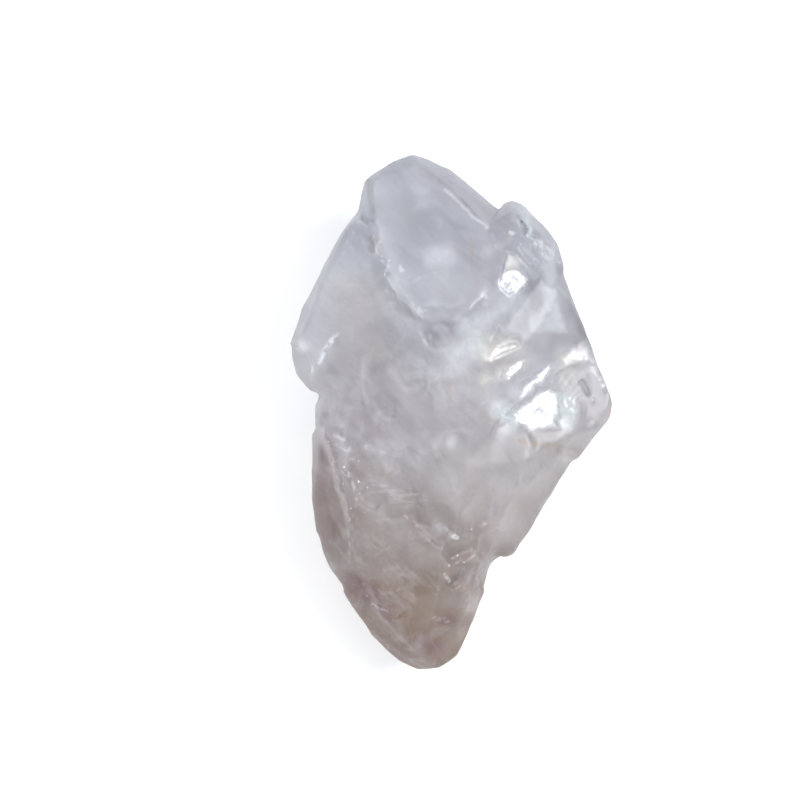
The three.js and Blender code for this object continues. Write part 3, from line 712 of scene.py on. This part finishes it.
# The quartz: its colours from the crown down to the tip, and what lies in it
quartzSettings = {
    "crown": "b4b6c0",
    "middle": "c3bfc1",
    "tip": "8a715d",
    # the white of the veils and of the painted highlights and glints
    "veilAndGlint": "f0f3f8",
    "cream": "f3ecd9",
    "aqua": "dff1ef",
    "shade": "787780",
    # the smoky colour, also used for painted shade
    "smokeAndShade": "764b50",
    "iron": "c2a584",
    # the white of the painted glints
    "glint": "fbfcff",
    "clear": 0.60,            # share of the light that goes in where it is clearest
    "cloudy": 0.34,           # and where it is cloudiest
    "haze": (0.30, 0.52),     # roughness of the hazy faces
    "mirror": 0.2,            # and of a clean break
    "absorbs": "cfcbd2",
    "density": 12.0,
    "drift": 9.0,             # mm, the size of the changes between the zones
    "cloud": 3.3,
    "feather": 1.1,
    "featherTurn": -42.0,     # degrees
    "line": 0.28,             # mm, drawn coarser than the real growth lines so that they show
    "grain": 0.67,
    "wave": 0.9,
    "bend": 2.4,
    "chip": 2.3,              # mm, the size of the small breaks of the body
    "glitter": 0.7,           # mm between the painted glints
}


def quartzMaterial(s):
    # Natural quartz, grown and broken: a hazy, see-through body with white veils, thin iron
    # stains in its cracks, and clean breaks that flash where they face the light. Its colour
    # also holds painted highlights, painted glints and painted shade
    material, tree = newMaterial("cloudy rough quartz")
    place = addNode(tree, "ShaderNodeTexCoord").outputs["Object"]
    layers = {}
    for name in ("veilAndGlint", "milkAndLight", "cream", "aqua", "chipped", "shade", "smokeAndShade", "iron", "lined",
                 "glitter", "mirror", "ridge"):
        layers[name] = addNode(tree, "ShaderNodeAttribute", {"attribute_name": name}).outputs["Fac"]

    # zones from the tip to the crown, whose borders drift
    parts = addNode(tree, "ShaderNodeSeparateXYZ", links={"Vector": place})
    drift = addNode(tree, "ShaderNodeTexNoise", {"Scale": scaleFor(s["drift"]), "Detail": 3.0},
                    {"Vector": place})
    height = addNode(tree, "ShaderNodeMapRange", {"From Min": -24 * mm, "From Max": 24 * mm},
                     {"Value": parts.outputs["Y"]})
    along = addNode(tree, "ShaderNodeMath", {"operation": "MULTIPLY_ADD", 1: 0.35},
                    {0: drift.outputs["Fac"], 2: height.outputs["Result"]})
    ramp = addNode(tree, "ShaderNodeValToRGB", links={"Fac": along.outputs["Value"]})
    ramp.color_ramp.elements[0].position = 0.34
    ramp.color_ramp.elements[0].color = linearColour(s["tip"])
    ramp.color_ramp.elements[1].position = 0.95
    ramp.color_ramp.elements[1].color = linearColour(s["crown"])
    ramp.color_ramp.elements.new(0.64).color = linearColour(s["middle"])

    # clouds, feathers drawn out along the growth, fine growth lines, and a grain
    cloud = addNode(tree, "ShaderNodeTexNoise", {
        "Scale": scaleFor(s["cloud"]), "Detail": 6.0, "Roughness": 0.55, "Distortion": 0.8,
    }, {"Vector": place})
    turned = addNode(tree, "ShaderNodeMapping", {
        "vector_type": "TEXTURE", "Rotation": (0, 0, math.radians(s["featherTurn"])),
        "Scale": (4.0, 1.0, 1.7),
    }, {"Vector": place})
    feather = addNode(tree, "ShaderNodeTexNoise", {
        "Scale": scaleFor(s["feather"]), "Detail": 4.0, "Roughness": 0.55, "Distortion": 0.5,
    }, {"Vector": turned.outputs["Vector"]})
    level = addNode(tree, "ShaderNodeMapping", {"Scale": (0.12, 1.0, 0.4)}, {"Vector": place})
    line = addNode(tree, "ShaderNodeTexNoise", {
        "Scale": scaleFor(s["line"]), "Detail": 2.0, "Roughness": 0.5,
    }, {"Vector": level.outputs["Vector"]})
    fine = addNode(tree, "ShaderNodeTexNoise", {
        "Scale": scaleFor(s["grain"]), "Detail": 5.0, "Roughness": 0.7,
    }, {"Vector": place})
    grain = addNode(tree, "ShaderNodeMapRange", {
        "From Min": 0.42, "From Max": 0.56, "To Min": 0.15, "To Max": 1.0,
    }, {"Value": fine.outputs["Fac"]})
    mottle = addNode(tree, "ShaderNodeMapRange", {
        "From Min": 0.4, "From Max": 0.6, "To Min": 0.7, "To Max": 1.0,
    }, {"Value": fine.outputs["Fac"]})

    # small breaks of the body, each a little lighter or darker than the next
    bent = addNode(tree, "ShaderNodeTexNoise", {"Scale": scaleFor(s["bend"]), "Detail": 3.0},
                   {"Vector": place})
    pushed = addNode(tree, "ShaderNodeVectorMath", {"operation": "MULTIPLY_ADD", 1: (mm, mm, mm)},
                     {0: bent.outputs["Color"], 2: place})
    chip = addNode(tree, "ShaderNodeTexVoronoi", {"Scale": scaleFor(s["chip"])},
                   {"Vector": pushed.outputs["Vector"]})
    chipTone = addNode(tree, "ShaderNodeSeparateColor", links={"Color": chip.outputs["Color"]})
    speckle = addNode(tree, "ShaderNodeMapRange", {
        "From Min": 0.5, "From Max": 0.7, "To Min": 0.0, "To Max": 0.14,
    }, {"Value": fine.outputs["Fac"]})
    chips = addNode(tree, "ShaderNodeMath", {"operation": "MULTIPLY_ADD", 1: 0.1},
                    {0: chipTone.outputs[0], 2: speckle.outputs["Result"]})
    chipped = addNode(tree, "ShaderNodeMath", {"operation": "MULTIPLY"},
                      {0: layers["chipped"], 1: chips.outputs["Value"]})

    # all that makes the stone paler: painted veils, painted highlights and painted light, clouds,
    # feathers, lines, chips and ridges
    ragged = addNode(tree, "ShaderNodeMath", {"operation": "MULTIPLY"},
                     {0: layers["veilAndGlint"], 1: grain.outputs["Result"]})
    # milky veils, painted highlights and painted light, with a slight mottle
    milkyAndLit = addNode(tree, "ShaderNodeMath", {"operation": "MULTIPLY"},
                    {0: layers["milkAndLight"], 1: mottle.outputs["Result"]})
    painted = addNode(tree, "ShaderNodeMath", {"operation": "MAXIMUM"},
                      {0: ragged.outputs["Value"], 1: milkyAndLit.outputs["Value"]})
    clouds = addNode(tree, "ShaderNodeMapRange", {
        "From Min": 0.5, "From Max": 0.78, "To Min": 0.0, "To Max": 0.32,
    }, {"Value": cloud.outputs["Fac"]})
    feathers = addNode(tree, "ShaderNodeMapRange", {
        "From Min": 0.52, "From Max": 0.78, "To Min": 0.0, "To Max": 0.16,
    }, {"Value": feather.outputs["Fac"]})
    fineLines = addNode(tree, "ShaderNodeMapRange", {
        "From Min": 0.48, "From Max": 0.64, "To Min": 0.0, "To Max": 0.16,
    }, {"Value": line.outputs["Fac"]})
    lines = addNode(tree, "ShaderNodeMath", {"operation": "MULTIPLY"},
                    {0: layers["lined"], 1: fineLines.outputs["Result"]})
    wisps = addNode(tree, "ShaderNodeMath", {"operation": "ADD"},
                    {0: clouds.outputs["Result"], 1: feathers.outputs["Result"]})
    drawn = addNode(tree, "ShaderNodeMath", {"operation": "MAXIMUM"},
                    {0: wisps.outputs["Value"], 1: lines.outputs["Value"]})
    natural = addNode(tree, "ShaderNodeMath", {"operation": "ADD"},
                      {0: drawn.outputs["Value"], 1: chipped.outputs["Value"]})
    veilAndGlint = addNode(tree, "ShaderNodeMath", {"operation": "MAXIMUM"},
                   {0: painted.outputs["Value"], 1: natural.outputs["Value"]})
    pale = addNode(tree, "ShaderNodeMath", {"operation": "MULTIPLY_ADD", 1: 0.2, "use_clamp": True},
                   {0: layers["ridge"], 2: veilAndGlint.outputs["Value"]})

    # painted glints where small facets would glitter: white dots round half of the points of a cell pattern
    cells = addNode(tree, "ShaderNodeTexVoronoi", {
        "distance": "MANHATTAN", "Scale": scaleFor(s["glitter"]),
    }, {"Vector": place})
    dots = addNode(tree, "ShaderNodeMapRange", {
        "From Min": 0.28, "From Max": 0.17, "To Min": 0.0, "To Max": 1.0,
    }, {"Value": cells.outputs["Distance"]})
    cellTone = addNode(tree, "ShaderNodeSeparateColor", links={"Color": cells.outputs["Color"]})
    lit = addNode(tree, "ShaderNodeMapRange", {
        "From Min": 0.4, "From Max": 0.7, "To Min": 0.0, "To Max": 1.0,
    }, {"Value": cellTone.outputs[0]})
    sparks = addNode(tree, "ShaderNodeMath", {"operation": "MULTIPLY"},
                     {0: dots.outputs["Result"], 1: lit.outputs["Result"]})
    glints = addNode(tree, "ShaderNodeMath", {"operation": "MULTIPLY"},
                     {0: layers["glitter"], 1: sparks.outputs["Value"]})

    dull = addNode(tree, "ShaderNodeMapRange", {
        "From Min": 0.5, "From Max": 0.28, "To Min": 0.0, "To Max": 0.3,
    }, {"Value": feather.outputs["Fac"]})
    # painted shade from the shade layer, with a dull grey from the feathers
    shade = addNode(tree, "ShaderNodeMath", {"operation": "MAXIMUM"},
                    {0: layers["shade"], 1: dull.outputs["Result"]})
    greyed = addNode(tree, "ShaderNodeMix", {"data_type": "RGBA", 7: linearColour(s["shade"])},
                     {0: shade.outputs["Value"], 6: ramp.outputs["Color"]})
    # the smoky colour, partly painted shade
    smokedAndShaded = addNode(tree, "ShaderNodeMix", {"data_type": "RGBA", 7: linearColour(s["smokeAndShade"])},
                     {0: layers["smokeAndShade"], 6: greyed.outputs[2]})
    creamy = addNode(tree, "ShaderNodeMix", {
        "data_type": "RGBA", 6: linearColour(s["veilAndGlint"]), 7: linearColour(s["cream"]),
    }, {0: layers["cream"]})
    white = addNode(tree, "ShaderNodeMix", {"data_type": "RGBA", 7: linearColour(s["aqua"])},
                    {0: layers["aqua"], 6: creamy.outputs[2]})
    # white veils, painted highlights and painted light over the stone's colour
    veiledAndLit = addNode(tree, "ShaderNodeMix", {"data_type": "RGBA"},
                     {0: pale.outputs["Value"], 6: smokedAndShaded.outputs[2], 7: white.outputs[2]})
    blotted = addNode(tree, "ShaderNodeMapRange", {"To Min": 0.25, "To Max": 1.0},
                      {"Value": grain.outputs["Result"]})
    rust = addNode(tree, "ShaderNodeMath", {"operation": "MULTIPLY"},
                   {0: layers["iron"], 1: blotted.outputs["Result"]})
    stained = addNode(tree, "ShaderNodeMix", {"data_type": "RGBA", 7: linearColour(s["iron"])},
                      {0: rust.outputs["Value"], 6: veiledAndLit.outputs[2]})
    # the painted glints on top
    colour = addNode(tree, "ShaderNodeMix", {"data_type": "RGBA", 7: linearColour(s["glint"])},
                     {0: glints.outputs["Value"], 6: stained.outputs[2]})

    solid = addNode(tree, "ShaderNodeMath", {"operation": "MAXIMUM"},
                    {0: pale.outputs["Value"], 1: glints.outputs["Value"]})
    clear = addNode(tree, "ShaderNodeMapRange", {"To Min": s["clear"], "To Max": s["cloudy"]},
                    {"Value": solid.outputs["Value"]})
    haze = addNode(tree, "ShaderNodeMapRange", {
        "From Min": 0.3, "From Max": 0.7, "To Min": s["haze"][0], "To Max": s["haze"][1],
    }, {"Value": cloud.outputs["Fac"]})
    gloss = addNode(tree, "ShaderNodeMix", {"data_type": "FLOAT", 3: s["mirror"]},
                    {0: layers["mirror"], 2: haze.outputs["Result"]})

    # the hazy faces have a fine grain, and slow waves in the clean breaks split their glints
    wave = addNode(tree, "ShaderNodeTexNoise", {"Scale": scaleFor(s["wave"]), "Detail": 2.0},
                   {"Vector": place})
    slowWave = addNode(tree, "ShaderNodeMapRange", {
        "From Min": 0.35, "From Max": 0.65, "To Min": 0.0, "To Max": 1.0,
    }, {"Value": wave.outputs["Fac"]})
    relief = addNode(tree, "ShaderNodeMix", {"data_type": "FLOAT"},
                     {0: layers["mirror"], 2: fine.outputs["Fac"], 3: slowWave.outputs["Result"]})
    bump = addNode(tree, "ShaderNodeBump", {"Strength": 0.25, "Distance": 0.1 * mm},
                   {"Height": relief.outputs[0]})
    shader = addNode(tree, "ShaderNodeBsdfPrincipled", {"IOR": 1.544}, {
        "Base Color": colour.outputs[2],
        "Roughness": gloss.outputs[0],
        "Transmission Weight": clear.outputs["Result"],
        "Normal": bump.outputs["Normal"],
    })
    absorb = addNode(tree, "ShaderNodeVolumeAbsorption", {
        "Color": linearColour(s["absorbs"]), "Density": s["density"],
    })
    addNode(tree, "ShaderNodeOutputMaterial", links={
        "Surface": shader.outputs[0], "Volume": absorb.outputs[0],
    })
    return material


makeCamera(cameraSettings)
makeRoom(lightSettings, roomSettings)
print("camera, light and floor made")
makeStone(stoneSettings)
print("stone made")
